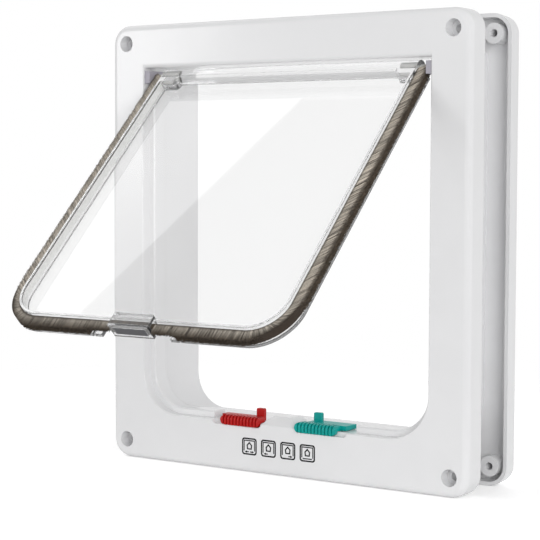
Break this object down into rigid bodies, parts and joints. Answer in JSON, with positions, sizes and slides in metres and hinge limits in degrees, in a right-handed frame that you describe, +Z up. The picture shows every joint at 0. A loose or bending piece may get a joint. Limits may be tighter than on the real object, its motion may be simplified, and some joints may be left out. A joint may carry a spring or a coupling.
{
  "type": "cat flap",
  "caption": "White door-mounted cat flap with a clear swinging flap, pile seal, magnet catch and red and green lock slides on the sill.",
  "frame": {"origin": "centre of the four fixing holes, on the plane where the front frame meets the door", "axes": "+X to the right seen from the room, +Y into the door, +Z up"},
  "size_m": [0.235, 0.1827, 0.25],
  "materials": {
    "white_moulding": "satin",
    "hinge_grey": "satin",
    "magnet": "satin",
    "clear_flap": "gloss",
    "clear_clip": "gloss",
    "pin_white": "satin",
    "pile": "matte",
    "red_slide": "satin",
    "green_slide": "satin"
  },
  "bodies": {
    "front": {"front_frame": "white_moulding", "left_hinge_block": "hinge_grey", "right_hinge_block": "hinge_grey", "sill_magnet": "magnet"},
    "rear": {"rear_frame": "white_moulding"},
    "flap": {"flap_panel": "clear_flap", "left_hinge_pin": "pin_white", "right_hinge_pin": "pin_white", "pile_strip": "pile", "magnet_clip": "clear_clip", "flap_magnet": "magnet"},
    "red": {"red_slide": "red_slide"},
    "green": {"green_slide": "green_slide"}
  },
  "joints": [
    {"name": "flap_hinge", "type": "hinge", "parent": "front", "child": "flap", "pos_m": [0, -0.0059, 0.095], "axis": [-1, 0, 0], "range_deg": [-130, 40]},
    {"name": "red_lock", "type": "slide", "parent": "front", "child": "red", "axis": [-1, 0, 0], "range_m": [0, 0.006]},
    {"name": "green_lock", "type": "slide", "parent": "front", "child": "green", "axis": [1, 0, 0], "range_m": [0, 0.006]},
    {"name": "door_thickness", "type": "slide", "parent": "front", "child": "rear", "axis": [0, 1, 0], "range_m": [-0.006, 0.004]}
  ]
}
